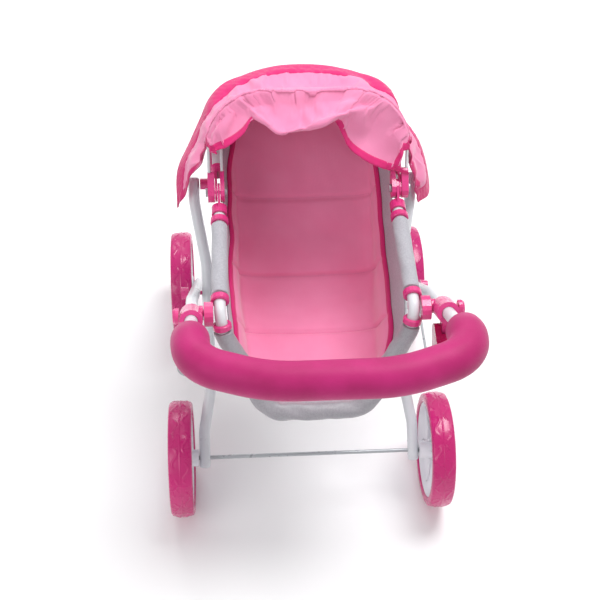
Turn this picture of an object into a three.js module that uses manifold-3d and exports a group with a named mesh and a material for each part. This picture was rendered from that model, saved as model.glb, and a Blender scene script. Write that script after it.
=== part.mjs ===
// Doll stroller: an X-frame chassis on four wheels, a folding seat frame with a fabric seat and a hood.
// Millimetres, +Z up, floor at z = 0. The pusher stands at -Y, the doll's head lies towards +Y.
import * as THREE from 'three';
import { mergeVertices } from 'three/addons/utils/BufferGeometryUtils.js';
import Module from 'manifold-3d';

const wasm = await Module();
wasm.setup();

// ---------------------------------------------------------------- driving dimensions

const GAP = 0.35;                                   // clearance left between touching pieces
const SIDES = { left: -1, right: 1 };

const WHEEL = { radius: 75, width: 29.5, track: 326, rim: 61, bore: 2.9, hubFace: 8, segments: 40 };
const AXLE = { radius: 2.5 };
const REAR_AXLE = { y: -83, z: WHEEL.radius };
const FRONT_AXLE = { y: 220, z: WHEEL.radius };

const TUBE = { outer: 7, inner: 5.6, sides: 10 };   // legs and handle
const RAIL = { outer: 6.5, inner: 5.2, sides: 10 }; // seat frame
const WIRE = { bow: 1.8, brake: 1.75, sides: 6 };

const FRONT_LEG_X = 140;
const FRONT_LEG_BEND = { y: -23, z: 312 };
const REAR_LEG_SLOPE = 1.013;                       // rise over run of the rear legs
const REAR_LEG_TOP_Y = 162;

const RAIL_X = 107;
const FOLD_PIVOT = { y: -93, z: 369 };              // seat rail on the handle clamp
const HUB_PIVOT = { y: 75, z: 390 };                // seat rail to back frame, and the hood's bows
const CROSS_PIVOT = { y: 65.6, z: 225.6 };          // where the legs cross
const BRAKE_PIVOT = { y: 179, z: 115 };

const GRIP = { outer: 19.5, startY: -200, sides: 14 };
const CLAMP = { outer: 12.5, length: 40, width: 24 };
const FRONT_BOW = { x: 115.6, reach: 117, lean: 25, corner: 68 };
const REAR_BOW = { x: 100.7, reach: 112, lean: 50, corner: 62 };
const FABRIC = 2;                                   // thickness of seat and hood cloth

const COLOUR = {
  hotPink: '#e0246f', deepPink: '#b5154f', palePink: '#f49ac1', tyrePink: '#e5478f', foamPink: '#c42a6c',
  white: '#eceef0', steel: '#b9bcc0', grey: '#b7b8bc',
};

// ---------------------------------------------------------------- geometry helpers

const vec = (x, y, z) => new THREE.Vector3(x, y, z);
const radians = THREE.MathUtils.degToRad;

function material(color, roughness, metalness = 0) {
  return new THREE.MeshStandardMaterial({ color, roughness, metalness });
}

// A path through straight runs and round bends, sampled only where it turns.
class BentPath extends THREE.Curve {
  constructor(stations) {
    super();
    this.stations = stations;
  }

  getUtoTmapping(u) {
    return u;
  }

  getPoint(t, target = new THREE.Vector3()) {
    const last = this.stations.length - 1;
    const index = Math.min(Math.floor(t * last + 1e-9), last - 1);
    return target.lerpVectors(this.stations[index], this.stations[index + 1], t * last - index);
  }

  getTangent(t, target = new THREE.Vector3()) {
    const last = this.stations.length - 1;
    const index = Math.round(t * last);
    const before = this.stations[Math.max(index - 1, 0)];
    const here = this.stations[index];
    const after = this.stations[Math.min(index + 1, last)];
    const into = vec().subVectors(here, before).normalize();
    const out = vec().subVectors(after, here).normalize();
    return target.addVectors(into, out).normalize();
  }
}

// corners: [x, y, z, bendRadius]; the first and last need no radius.
function bentPath(corners, stepDegrees = 15) {
  const points = corners.map(([x, y, z]) => vec(x, y, z));
  const stations = [points[0]];
  for (let i = 1; i < points.length - 1; i++) {
    const into = vec().subVectors(points[i], points[i - 1]).normalize();
    const out = vec().subVectors(points[i + 1], points[i]).normalize();
    const turn = into.angleTo(out);
    const radius = corners[i][3];
    const trim = radius * Math.tan(turn / 2);
    const start = points[i].clone().addScaledVector(into, -trim);
    const inward = vec().subVectors(out, into).normalize();
    const centre = points[i].clone().addScaledVector(inward, radius / Math.cos(turn / 2));
    const axis = vec().crossVectors(into, out).normalize();
    const arm = vec().subVectors(start, centre);
    const steps = Math.max(1, Math.ceil(turn / radians(stepDegrees)));
    for (let k = 0; k <= steps; k++) {
      stations.push(arm.clone().applyAxisAngle(axis, turn * k / steps).add(centre));
    }
  }
  stations.push(points[points.length - 1]);
  return new BentPath(stations);
}

function circlePoints(radius, sides) {
  const points = [];
  for (let i = 0; i < sides; i++) {
    const angle = 2 * Math.PI * (i + 0.5) / sides;
    points.push(new THREE.Vector2(radius * Math.cos(angle), radius * Math.sin(angle)));
  }
  return points;
}

// A round bar, or a pipe where an inner radius is given, swept along a path.
function pipe(path, outer, inner, sides) {
  const section = new THREE.Shape(circlePoints(outer, sides));
  if (inner) section.holes.push(new THREE.Path(circlePoints(inner, sides)));
  return new THREE.ExtrudeGeometry(section, { steps: path.stations.length - 1, extrudePath: path });
}

// A solid of revolution about Y; the profile [radius, y] closes on itself.
function turned(profile, segments) {
  const points = [...profile, profile[0]].map(([r, y]) => new THREE.Vector2(r, y));
  return new THREE.LatheGeometry(points, segments);
}

function collar(inner, outer, length, segments = 16) {
  const half = length / 2;
  const edge = Math.min(1, length / 4);
  return turned([[inner, -half], [outer - edge, -half], [outer, -half + edge],
    [outer, half - edge], [outer - edge, half], [inner, half]], segments);
}

const alongX = (geometry) => geometry.rotateZ(-Math.PI / 2);

function rod(radius, length, segments = 16) {
  return alongX(new THREE.CylinderGeometry(radius, radius, length, segments));
}

function aimed(geometry, direction, centre) {
  const turn = new THREE.Quaternion().setFromUnitVectors(vec(0, 1, 0), direction.clone().normalize());
  return geometry.applyQuaternion(turn).translate(centre.x, centre.y, centre.z);
}

// A side-view outline of [y, z] points, extruded across from x0 to x1.
function plate(outline, x0, x1) {
  const shape = new THREE.Shape(outline.map(([y, z]) => new THREE.Vector2(y, z)));
  const geometry = new THREE.ExtrudeGeometry(shape, { depth: x1 - x0, bevelEnabled: false });
  const across = new THREE.Matrix4().makeBasis(vec(0, 1, 0), vec(0, 0, 1), vec(1, 0, 0));
  return geometry.applyMatrix4(across).translate(x0, 0, 0);
}

// Side-view outline of two round ends joined by straight flanks, like a link.
function linkOutline(from, to, fromRadius, toRadius) {
  const heading = Math.atan2(to.z - from.z, to.y - from.y);
  const arc = (centre, radius, middle) => [-90, -60, -30, 0, 30, 60, 90].map((offset) => {
    const angle = middle + radians(offset);
    return [centre.y + radius * Math.cos(angle), centre.z + radius * Math.sin(angle)];
  });
  return [...arc(to, toRadius, heading), ...arc(from, fromRadius, heading + Math.PI)];
}

function solid(geometry) {
  const bare = geometry.clone();
  bare.deleteAttribute('normal');
  bare.deleteAttribute('uv');
  const merged = mergeVertices(bare, 1e-4);
  return new wasm.Manifold(new wasm.Mesh({
    numProp: 3,
    vertProperties: new Float32Array(merged.attributes.position.array),
    triVerts: new Uint32Array(merged.index.array),
  }));
}

function geometryOf(manifold) {
  const mesh = manifold.getMesh();
  const geometry = new THREE.BufferGeometry();
  geometry.setAttribute('position', new THREE.BufferAttribute(mesh.vertProperties, 3));
  geometry.setIndex(new THREE.BufferAttribute(mesh.triVerts, 1));
  geometry.computeVertexNormals();
  return geometry;
}

function cut(geometry, ...tools) {
  return geometryOf(tools.reduce((body, tool) => body.subtract(solid(tool)), solid(geometry)));
}

function join(geometry, ...others) {
  return geometryOf(others.reduce((body, other) => body.add(solid(other)), solid(geometry)));
}

// A cloth of even thickness over a surface pointAt(u, v), both from 0 to 1; u runs to +X and v to +Y.
// A lift sets it that far above the surface.
function cloth(pointAt, columns, rows, thickness, lift = 0) {
  const face = new THREE.PlaneGeometry(1, 1, columns, rows);
  const middle = face.attributes.position;
  for (let i = 0; i < middle.count; i++) {
    const point = pointAt(middle.getX(i) + 0.5, 0.5 - middle.getY(i));
    middle.setXYZ(i, point.x, point.y, point.z);
  }
  face.computeVertexNormals();
  const normal = face.attributes.normal;
  const across = columns + 1;
  const positions = [];
  for (const side of [0.5, -0.5]) {
    for (let i = 0; i < middle.count; i++) {
      positions.push(middle.getX(i) + (side * thickness - lift) * normal.getX(i));
      positions.push(middle.getY(i) + (side * thickness - lift) * normal.getY(i));
      positions.push(middle.getZ(i) + (side * thickness - lift) * normal.getZ(i));
    }
  }
  const index = [...face.index.array];
  for (let i = 0; i < face.index.count; i += 3) {
    const [a, b, c] = [0, 1, 2].map((k) => face.index.array[i + k] + middle.count);
    index.push(a, c, b);
  }
  const rim = [];
  for (let i = 0; i < columns; i++) rim.push(i);
  for (let i = 0; i < rows; i++) rim.push(i * across + columns);
  for (let i = columns; i > 0; i--) rim.push(rows * across + i);
  for (let i = rows; i > 0; i--) rim.push(i * across);
  rim.forEach((a, k) => {
    const b = rim[(k + 1) % rim.length];
    index.push(a, b, a + middle.count, b, b + middle.count, a + middle.count);
  });
  const geometry = new THREE.BufferGeometry();
  geometry.setAttribute('position', new THREE.Float32BufferAttribute(positions, 3));
  geometry.setIndex(index);
  geometry.computeVertexNormals();
  return geometry;
}

const stroller = new THREE.Group();

function add(name, geometry, look, position = [0, 0, 0]) {
  const mesh = new THREE.Mesh(geometry, look);
  mesh.name = name;
  mesh.position.set(...position);
  stroller.add(mesh);
}

const LOOK = {
  tube: material(COLOUR.white, 0.35),
  steel: material(COLOUR.steel, 0.35, 0.8),
  pinkPlastic: material(COLOUR.hotPink, 0.4),
  deepPlastic: material(COLOUR.deepPink, 0.35),
  whitePlastic: material(COLOUR.white, 0.5),
  tyre: material(COLOUR.tyrePink, 0.3),
  foam: material(COLOUR.foamPink, 0.8),
  grey: material(COLOUR.grey, 0.9),
  pinkCloth: material(COLOUR.palePink, 0.9),
};

// ---------------------------------------------------------------- wheels and axles

// The tread is faceted, and one facet faces straight down.
function tyre() {
  const { width, rim, segments } = WHEEL;
  const radius = WHEEL.radius / Math.cos(Math.PI / segments);
  const half = width / 2;
  return alongX(turned([[rim, -half + 1], [radius - 5, -half], [radius - 1.5, -half + 4], [radius, -half + 9],
    [radius, half - 9], [radius - 1.5, half - 4], [radius - 5, half], [rim, half - 1]], segments))
    .rotateX(Math.PI / segments);
}

// The web stands back from both tyre faces; the boss runs from the leg (inside) to the cap.
function wheelDisc(bossInner) {
  const { width, rim, bore, hubFace } = WHEEL;
  const segments = 24;
  const half = width / 2;
  const outer = rim - GAP - 0.3;
  return alongX(turned([[bore, -bossInner], [11, -bossInner], [11, -5], [outer - 3, -5], [outer - 3, -half + 3],
    [outer, -half + 3], [outer, half - 3], [outer - 3, half - 3], [outer - 3, 3], [15, 3], [15, hubFace],
    [bore, hubFace]], segments));
}

function wheel(corner, axle, side, legFace) {
  const x = side * WHEEL.track / 2;
  const place = [x, axle.y, axle.z];
  const inward = WHEEL.track / 2 - legFace - GAP - 0.4;
  const facing = (geometry) => (side > 0 ? geometry : geometry.rotateZ(Math.PI));
  add(`tyre_${corner}`, tyre(), LOOK.tyre, place);
  add(`wheel_disc_${corner}`, facing(wheelDisc(inward)), LOOK.whitePlastic, place);
  const cap = [[0, 0], [13, 0], [13, 1.5], [9, 4.5], [0, 6]];
  const capGeometry = facing(alongX(new THREE.LatheGeometry(cap.map(([r, y]) => new THREE.Vector2(r, y)), 20)));
  add(`hub_cap_${corner}`, capGeometry, LOOK.pinkPlastic,
    [x + side * (WHEEL.hubFace + GAP), axle.y, axle.z]);
}

for (const [name, side] of Object.entries(SIDES)) {
  wheel(`rear_${name}`, REAR_AXLE, side, 141);
  wheel(`front_${name}`, FRONT_AXLE, side, FRONT_LEG_X + TUBE.outer);
}
const axleLength = 2 * (WHEEL.track / 2 + WHEEL.hubFace - GAP);
add('rear_axle', rod(AXLE.radius, axleLength, 12), LOOK.steel, [0, REAR_AXLE.y, REAR_AXLE.z]);
add('front_axle', rod(AXLE.radius, axleLength, 12), LOOK.steel, [0, FRONT_AXLE.y, FRONT_AXLE.z]);

// ---------------------------------------------------------------- front legs and handle, one bent tube

const legDirection = vec(0, FRONT_AXLE.y - FRONT_LEG_BEND.y, FRONT_AXLE.z - FRONT_LEG_BEND.z).normalize();
const ARM_TOP = { x: 135, y: -216, z: 466 };
const armDirection = vec(ARM_TOP.x - FRONT_LEG_X, ARM_TOP.y - FRONT_LEG_BEND.y, ARM_TOP.z - FRONT_LEG_BEND.z)
  .normalize();
const LEG_TAIL = 12.5;                              // tube left below the axle

function armPoint(y) {
  const t = (y - FRONT_LEG_BEND.y) / (ARM_TOP.y - FRONT_LEG_BEND.y);
  return vec(THREE.MathUtils.lerp(FRONT_LEG_X, ARM_TOP.x, t), y,
    THREE.MathUtils.lerp(FRONT_LEG_BEND.z, ARM_TOP.z, t));
}

const gripHalf = [
  [ARM_TOP.x, ARM_TOP.y, ARM_TOP.z, 40],
  [131, -250, 477, 42],
  [62, -275.5, 479, 150],
];

function handlePath() {
  const foot = vec(FRONT_LEG_X, FRONT_AXLE.y, FRONT_AXLE.z).addScaledVector(legDirection, LEG_TAIL);
  const half = [[foot.x, foot.y, foot.z, 0], [FRONT_LEG_X, FRONT_LEG_BEND.y, FRONT_LEG_BEND.z, 150], ...gripHalf];
  const mirrored = half.map(([x, y, z, r]) => [-x, y, z, r]).reverse();
  return bentPath([...half, ...mirrored], 20);
}

function boltHole(x, pivot, radius) {
  return rod(radius, 30, 12).translate(x, pivot.y, pivot.z);
}

const handleHoles = [-1, 1].flatMap((side) => [
  boltHole(side * FRONT_LEG_X, FRONT_AXLE, WHEEL.bore),
  boltHole(side * FRONT_LEG_X, CROSS_PIVOT, 2.9),
  rod(2.2, 6, 10).translate(side * (FRONT_LEG_X - TUBE.outer), BRAKE_PIVOT.y, BRAKE_PIVOT.z),
]);
add('handle_frame', cut(pipe(handlePath(), TUBE.outer, TUBE.inner, TUBE.sides), ...handleHoles), LOOK.tube);

function gripPath() {
  const start = armPoint(GRIP.startY);
  const half = [[start.x, start.y, start.z, 0], ...gripHalf];
  const mirrored = half.map(([x, y, z, r]) => [-x, y, z, r]).reverse();
  return bentPath([...half, ...mirrored], 20);
}
add('grip_foam', pipe(gripPath(), GRIP.outer, TUBE.outer + 0.6, GRIP.sides), LOOK.foam);

// ---------------------------------------------------------------- rear legs

function rearLegPath(side) {
  const at = (x, y, bend) => [side * x, y, REAR_AXLE.z + REAR_LEG_SLOPE * (y - REAR_AXLE.y), bend];
  return bentPath([at(134, -92), at(133.5, -58, 60), at(124, -22, 60), at(124, 90, 90), at(137, 146, 90),
    at(137, REAR_LEG_TOP_Y + 6)], 12);
}

function rearLeg(side) {
  const tube = pipe(rearLegPath(side), TUBE.outer, TUBE.inner, TUBE.sides);
  return cut(tube, boltHole(side * 134, REAR_AXLE, WHEEL.bore), boltHole(side * 124, CROSS_PIVOT, 2.9));
}

function crossBolt(side) {
  const shank = rod(2.5, 34).translate(side * 133, 0, 0);
  const head = rod(5.5, 3).translate(side * 115, 0, 0);
  const nut = alongX(new THREE.CylinderGeometry(7, 8, 9, 16)).translate(side * 152.5, 0, 0);
  return join(shank, head, nut).translate(0, CROSS_PIVOT.y, CROSS_PIVOT.z);
}

for (const [name, side] of Object.entries(SIDES)) {
  add(`rear_leg_${name}`, rearLeg(side), LOOK.tube);
  add(`cross_bolt_${name}`, crossBolt(side), LOOK.pinkPlastic);
}

// ---------------------------------------------------------------- handle clamps, fold latches

// The clamp grips the handle tube; a stud on its inner side carries the seat rail, a lug below it the latch.
const LATCH_PIVOT = { y: -117, z: 351 };
const LATCH = { lug: 7, slot: 8, width: 22 };

function clamp(side) {
  const centre = armPoint(FOLD_PIVOT.y - 19);
  centre.x *= side;
  const direction = vec(side * armDirection.x, armDirection.y, armDirection.z);
  const sleeve = aimed(new THREE.CylinderGeometry(CLAMP.outer, CLAMP.outer, CLAMP.length, 20), direction, centre);
  const lug = plate(linkOutline({ y: centre.y, z: centre.z }, LATCH_PIVOT, 9, 7), -LATCH.lug / 2, LATCH.lug / 2)
    .translate(centre.x, 0, 0);
  const pin = rod(2.4, LATCH.width - 5, 12).translate(centre.x, LATCH_PIVOT.y, LATCH_PIVOT.z);
  const bore = aimed(new THREE.CylinderGeometry(TUBE.outer + 0.45, TUBE.outer + 0.45, 70, 20), direction, centre);
  const stud = rod(4, 12, 14).translate(side * 123.5, FOLD_PIVOT.y, FOLD_PIVOT.z);
  const boss = rod(8, 5, 16).translate(side * 127.5, FOLD_PIVOT.y, FOLD_PIVOT.z);
  return cut(join(sleeve, lug, pin, stud, boss), bore);
}

function latchLever(side) {
  const x = side * armPoint(FOLD_PIVOT.y - 19).x;
  const half = LATCH.width / 2;
  const lever = plate(linkOutline(LATCH_PIVOT, { y: -130, z: 344 }, 11, 17), -half, half);
  const slot = plate(linkOutline({ y: -112, z: 380 }, LATCH_PIVOT, 13, 10), -LATCH.slot / 2, LATCH.slot / 2);
  const hole = rod(2.8, LATCH.width - 4, 12).translate(0, LATCH_PIVOT.y, LATCH_PIVOT.z);
  return cut(lever, slot, hole).translate(x, 0, 0);
}

function clampCap(side) {
  const dome = [[0, 0], [9, 0], [9, 4], [7, 6.5], [0, 7]].map(([r, y]) => new THREE.Vector2(r, y));
  const cap = alongX(new THREE.LatheGeometry(dome, 20));
  return side > 0 ? cap : cap.rotateZ(Math.PI);
}

for (const [name, side] of Object.entries(SIDES)) {
  add(`handle_clamp_${name}`, clamp(side), LOOK.pinkPlastic);
  add(`clamp_cap_${name}`, clampCap(side), LOOK.pinkPlastic, [side * 150.8, -110, 384]);
  add(`fold_latch_${name}`, latchLever(side), LOOK.deepPlastic);
}

// ---------------------------------------------------------------- seat frame

const railHalf = [
  [105, 53, 377, 0],
  [RAIL_X, -95, 368.5, 14],
  [103, -106, 340, 40],
  [78, -122, 304, 50],
  [60, -144, 251, 38],
];

function seatFramePath() {
  const mirrored = railHalf.map(([x, y, z, r]) => [-x, y, z, r]).reverse();
  return bentPath([...railHalf, ...mirrored], 20);
}
add('seat_frame_tube', pipe(seatFramePath(), RAIL.outer, RAIL.inner, RAIL.sides), LOOK.tube);

function railPoint(side, y) {
  const [from, to] = railHalf;
  const t = (y - from[1]) / (to[1] - from[1]);
  const mix = (k) => THREE.MathUtils.lerp(from[k], to[k], t);
  return vec(side * mix(0), y, mix(2));
}

function onRail(geometry, side, y) {
  const ahead = railPoint(side, y + 1);
  const centre = railPoint(side, y);
  return aimed(geometry, vec().subVectors(ahead, centre), centre);
}

const RING = { outer: 10.5, length: 8 };
const ringPlaces = { upper: 40, middle: -75 };
for (const [name, side] of Object.entries(SIDES)) {
  for (const [place, y] of Object.entries(ringPlaces)) {
    const ring = collar(RAIL.outer + 0.5, RING.outer, RING.length);
    add(`rail_ring_${place}_${name}`, onRail(ring, side, y), LOOK.pinkPlastic);
  }
  const corner = vec(...railHalf[1]);
  const downward = vec(...railHalf[2]).sub(corner).normalize();
  const low = corner.addScaledVector(downward, 15.4);
  low.x *= side;
  downward.x *= side;
  add(`rail_ring_lower_${name}`, aimed(collar(RAIL.outer + 0.5, RING.outer, 7), downward, low), LOOK.pinkPlastic);
  const from = railPoint(side, -70);
  const to = railPoint(side, 35);
  const sleeve = pipe(new BentPath([from, from.clone().lerp(to, 0.5), to]), 9.8, RAIL.outer + GAP, 16);
  add(`rail_sleeve_${name}`, sleeve, LOOK.grey);
  const block = plate(linkOutline({ y: -98, z: 367 }, { y: -90, z: 368.5 }, 10, 10), -5, 5)
    .translate(side * 119.3, 0, 0);
  const socket = rod(4.4, 12, 14).translate(side * 123.2, FOLD_PIVOT.y, FOLD_PIVOT.z);
  add(`rail_bracket_${name}`, cut(block, socket), LOOK.pinkPlastic);
}

// ---------------------------------------------------------------- hubs, back frame, bows

// A hub is a stack across X: rear bow hub, rail knuckle, back knuckle, front bow hub.
const STACK = { rearBow: [98.2, 103.2], rail: [103.6, 106.2], back: [106.6, 109.2], frontBow: [109.6, 117.6] };
const BOW_NECK = 24;
const SCREW_HOLE = 2.3;

function hubPoint(lean, reach) {
  return {
    y: HUB_PIVOT.y + reach * Math.sin(radians(lean)),
    z: HUB_PIVOT.z + reach * Math.cos(radians(lean)),
  };
}

function acrossSides(outline, [x0, x1], side) {
  return side > 0 ? plate(outline, x0, x1) : plate(outline, -x1, -x0);
}

const screwHole = (side) => rod(SCREW_HOLE, 40, 12).translate(side * 106, HUB_PIVOT.y, HUB_PIVOT.z);

function bowHub(span, bow, side) {
  const outline = linkOutline(HUB_PIVOT, hubPoint(bow.lean, BOW_NECK - 3.5), 12, 4.5);
  const end = hubPoint(bow.lean, BOW_NECK);
  const direction = vec(0, end.y - HUB_PIVOT.y, end.z - HUB_PIVOT.z);
  const well = aimed(new THREE.CylinderGeometry(WIRE.bow + 0.3, WIRE.bow + 0.3, 22, 10), direction,
    vec(side * bow.x, end.y, end.z));
  return cut(acrossSides(outline, span, side), screwHole(side), well);
}

function railKnuckle(side) {
  const along = vec(0, 1, 0.056);
  const sleeve = aimed(new THREE.CylinderGeometry(9.2, 9.2, 12, 18), along, railPoint(side, 55.7));
  const tongue = acrossSides(linkOutline(railPoint(side, 55), HUB_PIVOT, 7, 11), STACK.rail, side);
  const bore = aimed(new THREE.CylinderGeometry(RAIL.outer + 0.5, RAIL.outer + 0.5, 16, 16), along,
    railPoint(side, 45.5));
  return cut(join(sleeve, tongue), bore, screwHole(side));
}

const BACK = { x: 106, start: 103, end: 245, rise: 0.18, radius: 6 };
const backZ = (y) => HUB_PIVOT.z + BACK.rise * (y - HUB_PIVOT.y);

function backKnuckle(side) {
  const along = vec(0, 1, BACK.rise);
  const centre = vec(side * BACK.x, 106, backZ(106));
  const sleeve = aimed(new THREE.CylinderGeometry(7.6, 7.6, 12, 18), along, centre);
  const tongue = acrossSides(linkOutline(HUB_PIVOT, { y: 105, z: backZ(105) }, 11, 7), STACK.back, side);
  const bore = aimed(new THREE.CylinderGeometry(BACK.radius + 0.5, BACK.radius + 0.5, 16, 16), along,
    vec(side * BACK.x, 111, backZ(111)));
  return cut(join(sleeve, tongue), bore, screwHole(side));
}

function backFrame() {
  const half = [[BACK.x, BACK.start + 1, backZ(BACK.start), 0], [BACK.x, BACK.end, backZ(BACK.end), 52]];
  const mirrored = half.map(([x, y, z, r]) => [-x, y, z, r]).reverse();
  return pipe(bentPath([...half, ...mirrored], 18), BACK.radius, 4.8, RAIL.sides);
}

function bowWire(bow) {
  const corner = (x, reach, bend) => {
    const point = hubPoint(bow.lean, reach);
    return [x, point.y, point.z, bend];
  };
  return pipe(bentPath([corner(bow.x, BOW_NECK - 10.4, 0), corner(bow.x, bow.reach, bow.corner),
    corner(-bow.x, bow.reach, bow.corner), corner(-bow.x, BOW_NECK - 10.4, 0)], 12), WIRE.bow, 0, WIRE.sides);
}

function hubScrew() {
  const reach = (STACK.frontBow[1] - STACK.rearBow[0]) / 2 + GAP + 1.2;
  return join(rod(SCREW_HOLE - GAP, 2 * reach, 12), rod(5, 2.4).translate(reach, 0, 0),
    rod(5, 2.4).translate(-reach, 0, 0));
}

// The back frame rests on the rear legs through a flat bracket on each side.
function backBracket(side) {
  const top = { y: 164, z: backZ(164) };
  const foot = { y: REAR_LEG_TOP_Y, z: REAR_AXLE.z + REAR_LEG_SLOPE * (REAR_LEG_TOP_Y - REAR_AXLE.y) };
  const strap = acrossSides(linkOutline(top, foot, 8, 8), [112.5, 117.5], side);
  const saddle = aimed(new THREE.CylinderGeometry(8.2, 8.2, 18, 18), vec(0, 1, BACK.rise), vec(side * BACK.x, top.y, top.z));
  const bore = aimed(new THREE.CylinderGeometry(BACK.radius + 0.5, BACK.radius + 0.5, 30, 16),
    vec(0, 1, BACK.rise), vec(side * BACK.x, top.y, top.z));
  const boss = rod(7, 12, 16).translate(side * 123, foot.y, foot.z);
  return cut(join(strap, saddle, boss), bore);
}

for (const [name, side] of Object.entries(SIDES)) {
  add(`rail_knuckle_${name}`, railKnuckle(side), LOOK.pinkPlastic);
  add(`back_knuckle_${name}`, backKnuckle(side), LOOK.pinkPlastic);
  add(`front_bow_hub_${name}`, bowHub(STACK.frontBow, FRONT_BOW, side), LOOK.pinkPlastic);
  add(`rear_bow_hub_${name}`, bowHub(STACK.rearBow, REAR_BOW, side), LOOK.pinkPlastic);
  add(`hub_screw_${name}`, hubScrew(), LOOK.steel,
    [side * (STACK.rearBow[0] + STACK.frontBow[1]) / 2, HUB_PIVOT.y, HUB_PIVOT.z]);
  add(`back_bracket_${name}`, backBracket(side), LOOK.pinkPlastic);
}
add('front_bow', bowWire(FRONT_BOW), LOOK.tube);
add('rear_bow', bowWire(REAR_BOW), LOOK.tube);
add('back_frame_tube', backFrame(), LOOK.tube);

// ---------------------------------------------------------------- brake wires behind the front wheels

// Each wire hooks into its front leg, runs under it, steps out behind the tyre and ends in an inward toe bar.
function brakeWire(side) {
  const corners = [
    [131, BRAKE_PIVOT.y, BRAKE_PIVOT.z, 0],
    [124, BRAKE_PIVOT.y, BRAKE_PIVOT.z, 4],
    [124, 137, 97, 6],
    [168, 134, 97, 6],
    [168, 34, 97, 14],
    [136, 34, 97, 0],
  ];
  return pipe(bentPath(corners.map(([x, y, z, r]) => [side * x, y, z, r]), 30), WIRE.brake, 0, WIRE.sides);
}
for (const [name, side] of Object.entries(SIDES)) {
  add(`brake_wire_${name}`, brakeWire(side), LOOK.steel);
}

// ---------------------------------------------------------------- soft goods, plain solids

// Seat cloth: a trough hung between the rails. Its floor [x, y, z] is wide and flat, its sides rise to the rails.
function trough(floor, rim) {
  const floorLine = new THREE.CatmullRomCurve3(floor.map((p) => vec(...p)));
  const rimLine = new THREE.CatmullRomCurve3(rim.map((p) => vec(...p)));
  return (u, v) => {
    const low = floorLine.getPoint(v);
    const high = rimLine.getPoint(v);
    const across = 2 * u - 1;
    const spread = Math.abs(across) / 0.6;
    const rise = Math.max(0, (Math.abs(across) - 0.6) / 0.4) ** 1.3;
    const half = THREE.MathUtils.lerp(low.x * Math.min(spread, 1), high.x, rise);
    return vec(Math.sign(across) * half, THREE.MathUtils.lerp(low.y, high.y, rise),
      THREE.MathUtils.lerp(low.z, high.z, rise));
  };
}

const seatTrough = trough(
  [[58, -128, 262], [66, -108, 243], [74, -60, 235], [80, 0, 231], [82, 44, 232]],
  [[54, -126, 296], [72, -106, 336], [90, -66, 360], [94, 0, 366], [94, 46, 369]]);
const backTrough = trough(
  [[84, 50, 235], [84, 90, 266], [84, 150, 323], [72, 226, 404]],
  [[94, 52, 370], [95, 90, 388], [94, 150, 401], [78, 228, 414]]);
add('seat_tub', cloth(seatTrough, 14, 6, FABRIC), LOOK.grey);
add('seat_back', cloth(backTrough, 14, 6, FABRIC), LOOK.grey);

// Pads lie on the floor of the seat cloth.
function pad(surface, uHalf, v0, v1, thickness) {
  const part = (u, v) => surface(0.5 + (u - 0.5) * 2 * uHalf, THREE.MathUtils.lerp(v0, v1, v));
  return cloth(part, 6, 6, thickness, FABRIC / 2 + 1.5 + thickness / 2);
}
add('seat_pad', pad(seatTrough, 0.27, 0.06, 0.96, 8), LOOK.pinkCloth);
add('back_pad', pad(backTrough, 0.28, 0.06, 0.97, 9), LOOK.pinkCloth);

// Hood: from the front edge over both bows to the back hem, whose tips hang outside the rear legs.
// Each row gives its right half from the side hem to the ridge as [x, y, z] from the hub pivot.
const HOOD = [
  [[104, 2, 30], [101, 4, 62], [74, 5, 94], [38, 3, 101], [0, 2, 95]],
  [[122, 12, 28], [122, 32, 70], [97, 52, 110], [46, 54, 115], [0, 54, 115]],
  [[123, 30, 20], [122, 64, 48], [96, 98, 73], [46, 104, 79], [0, 105, 79]],
  [[158, 68, -88], [156, 88, -46], [143, 108, -24], [123, 131, 16], [93, 158, 50], [58, 170, 50], [0, 173, 50]],
];

function hoodRow(half) {
  const right = half.map(([x, y, z]) => vec(x, HUB_PIVOT.y + y, HUB_PIVOT.z + z));
  const left = right.map((p) => vec(-p.x, p.y, p.z)).reverse();
  return new THREE.CatmullRomCurve3([...right.slice(0, -1).map((p) => vec(-p.x, p.y, p.z)),
    right[right.length - 1], ...left.slice(1).map((p) => vec(-p.x, p.y, p.z))], false, 'centripetal');
}
const hoodRows = HOOD.map(hoodRow);

function hoodSurface(u, v) {
  const line = new THREE.CatmullRomCurve3(hoodRows.map((row) => row.getPointAt(u)), false, 'centripetal');
  return line.getPoint(v);
}
add('canopy', cloth(hoodSurface, 22, 9, FABRIC), LOOK.pinkCloth);

// Gathered sleeve on the footrest part of the seat frame.
function footrestSleeve() {
  const stations = seatFramePath().stations.filter((point) => point.y < -102.4);
  return pipe(new BentPath(stations), 10.4, RAIL.outer + 0.5, 12);
}
add('footrest_sleeve', footrestSleeve(), LOOK.grey);

export default stroller;
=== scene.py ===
"""The doll stroller's looks: tyres, pipes, plastic, foam and sewn cloth around its frame.

Lengths are written in millimetres and turned into metres when a mesh is made. +Y points away from the
pusher, and +Z up.
"""

import math

import bpy
import numpy as np
from mathutils import Matrix, Vector, noise


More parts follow.
